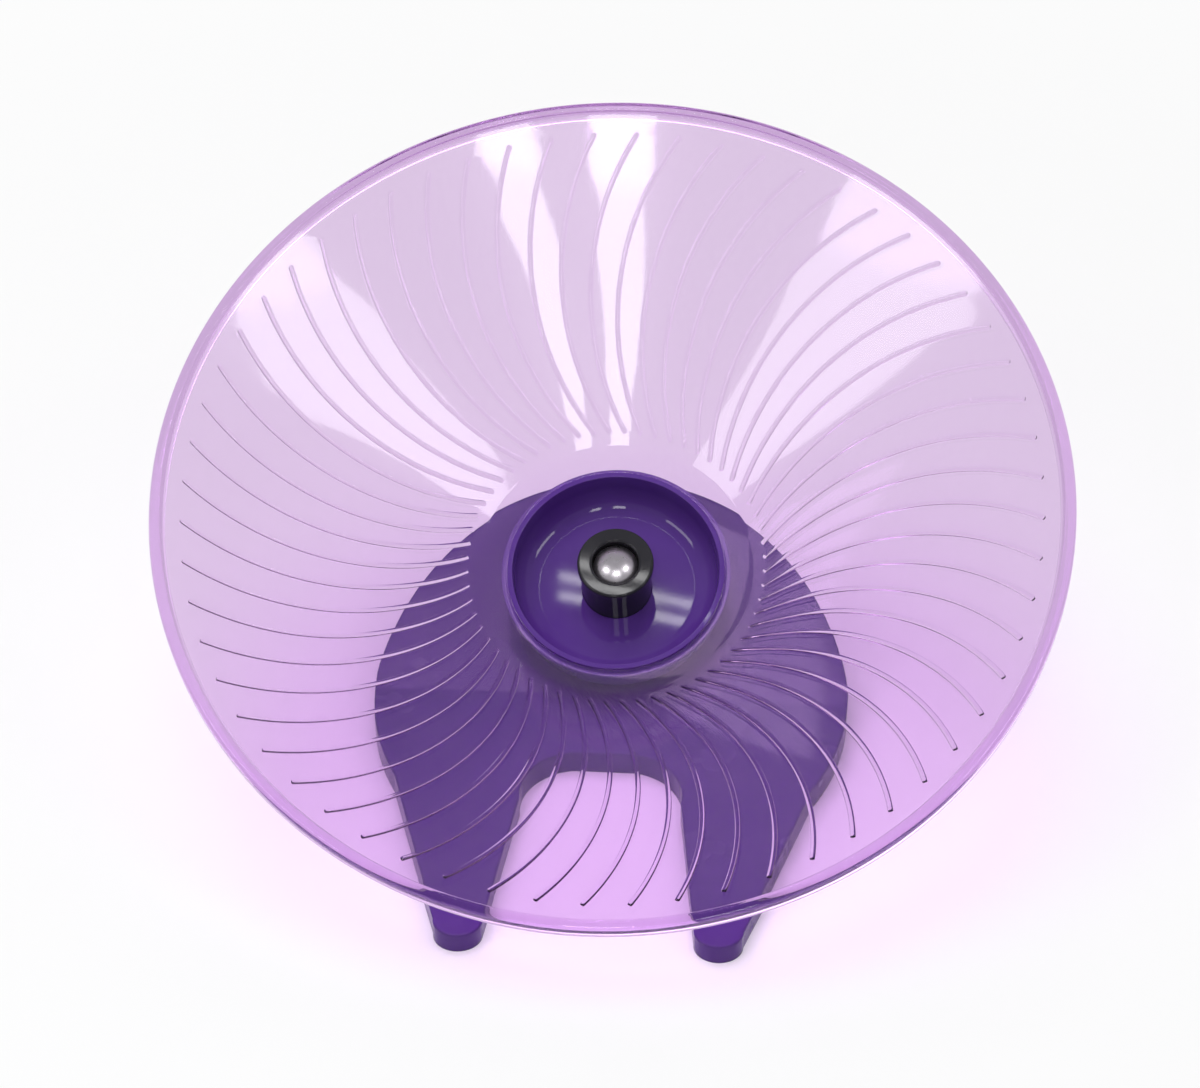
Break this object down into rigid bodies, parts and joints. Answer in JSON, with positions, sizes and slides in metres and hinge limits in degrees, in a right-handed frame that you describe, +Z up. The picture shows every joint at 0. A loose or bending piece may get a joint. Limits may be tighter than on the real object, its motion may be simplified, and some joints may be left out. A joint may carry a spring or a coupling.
{
  "type": "flying saucer hamster wheel",
  "caption": "Tilted clear dish with curved ribs that spins on ball bearings and a leaning spindle above a low moulded stand with front legs.",
  "frame": {"origin": "on the ground, under the middle of the object's box", "axes": "+Z up, -Y towards the low side of the dish and the front legs, +X to the viewer's right"},
  "size_m": [0.1906, 0.168, 0.1071],
  "materials": {
    "clear_plastic": "clear tinted, glossy",
    "purple_plastic": "glossy",
    "stand_plastic": "satin gloss",
    "black_plastic": "glossy",
    "bearing_steel": "ground",
    "cage_brass": "pressed",
    "seal_rubber": "matte",
    "zinc_steel": "zinc plated",
    "polished_steel": "polished"
  },
  "bodies": {
    "stand": {"stand": "stand_plastic", "spindle": "polished_steel", "nut_washer": "zinc_steel", "spindle_nut": "zinc_steel", "thrust_washer": "zinc_steel", "spacer_sleeve": "zinc_steel", "head_washer": "zinc_steel", "front_inner_race": "bearing_steel", "rear_inner_race": "bearing_steel"},
    "saucer": {"saucer": "clear_plastic", "hub_cup": "purple_plastic", "bearing_barrel": "black_plastic", "barrel_cap": "black_plastic", "front_outer_race": "bearing_steel", "rear_outer_race": "bearing_steel", "front_seals": "seal_rubber", "rear_seals": "seal_rubber"},
    "front_ball_set": {"front_balls": "bearing_steel", "front_ball_cage": "cage_brass"},
    "rear_ball_set": {"rear_balls": "bearing_steel", "rear_ball_cage": "cage_brass"}
  },
  "joints": [
    {"name": "saucer_spin", "type": "hinge", "parent": "stand", "child": "saucer", "pos_m": [0, 0.00041, 0.0585], "axis": [0, -0.4848, 0.8746], "continuous": true},
    {"name": "front_balls_spin", "type": "hinge", "parent": "stand", "child": "front_ball_set", "pos_m": [0, 0.00041, 0.0585], "axis": [0, -0.4848, 0.8746], "continuous": true},
    {"name": "rear_balls_spin", "type": "hinge", "parent": "stand", "child": "rear_ball_set", "pos_m": [0, 0.00041, 0.0585], "axis": [0, -0.4848, 0.8746], "continuous": true}
  ],
  "couplings": [
    {"joint": "front_balls_spin", "follows": "saucer_spin", "ratio": 0.6278},
    {"joint": "rear_balls_spin", "follows": "saucer_spin", "ratio": 0.6278}
  ]
}
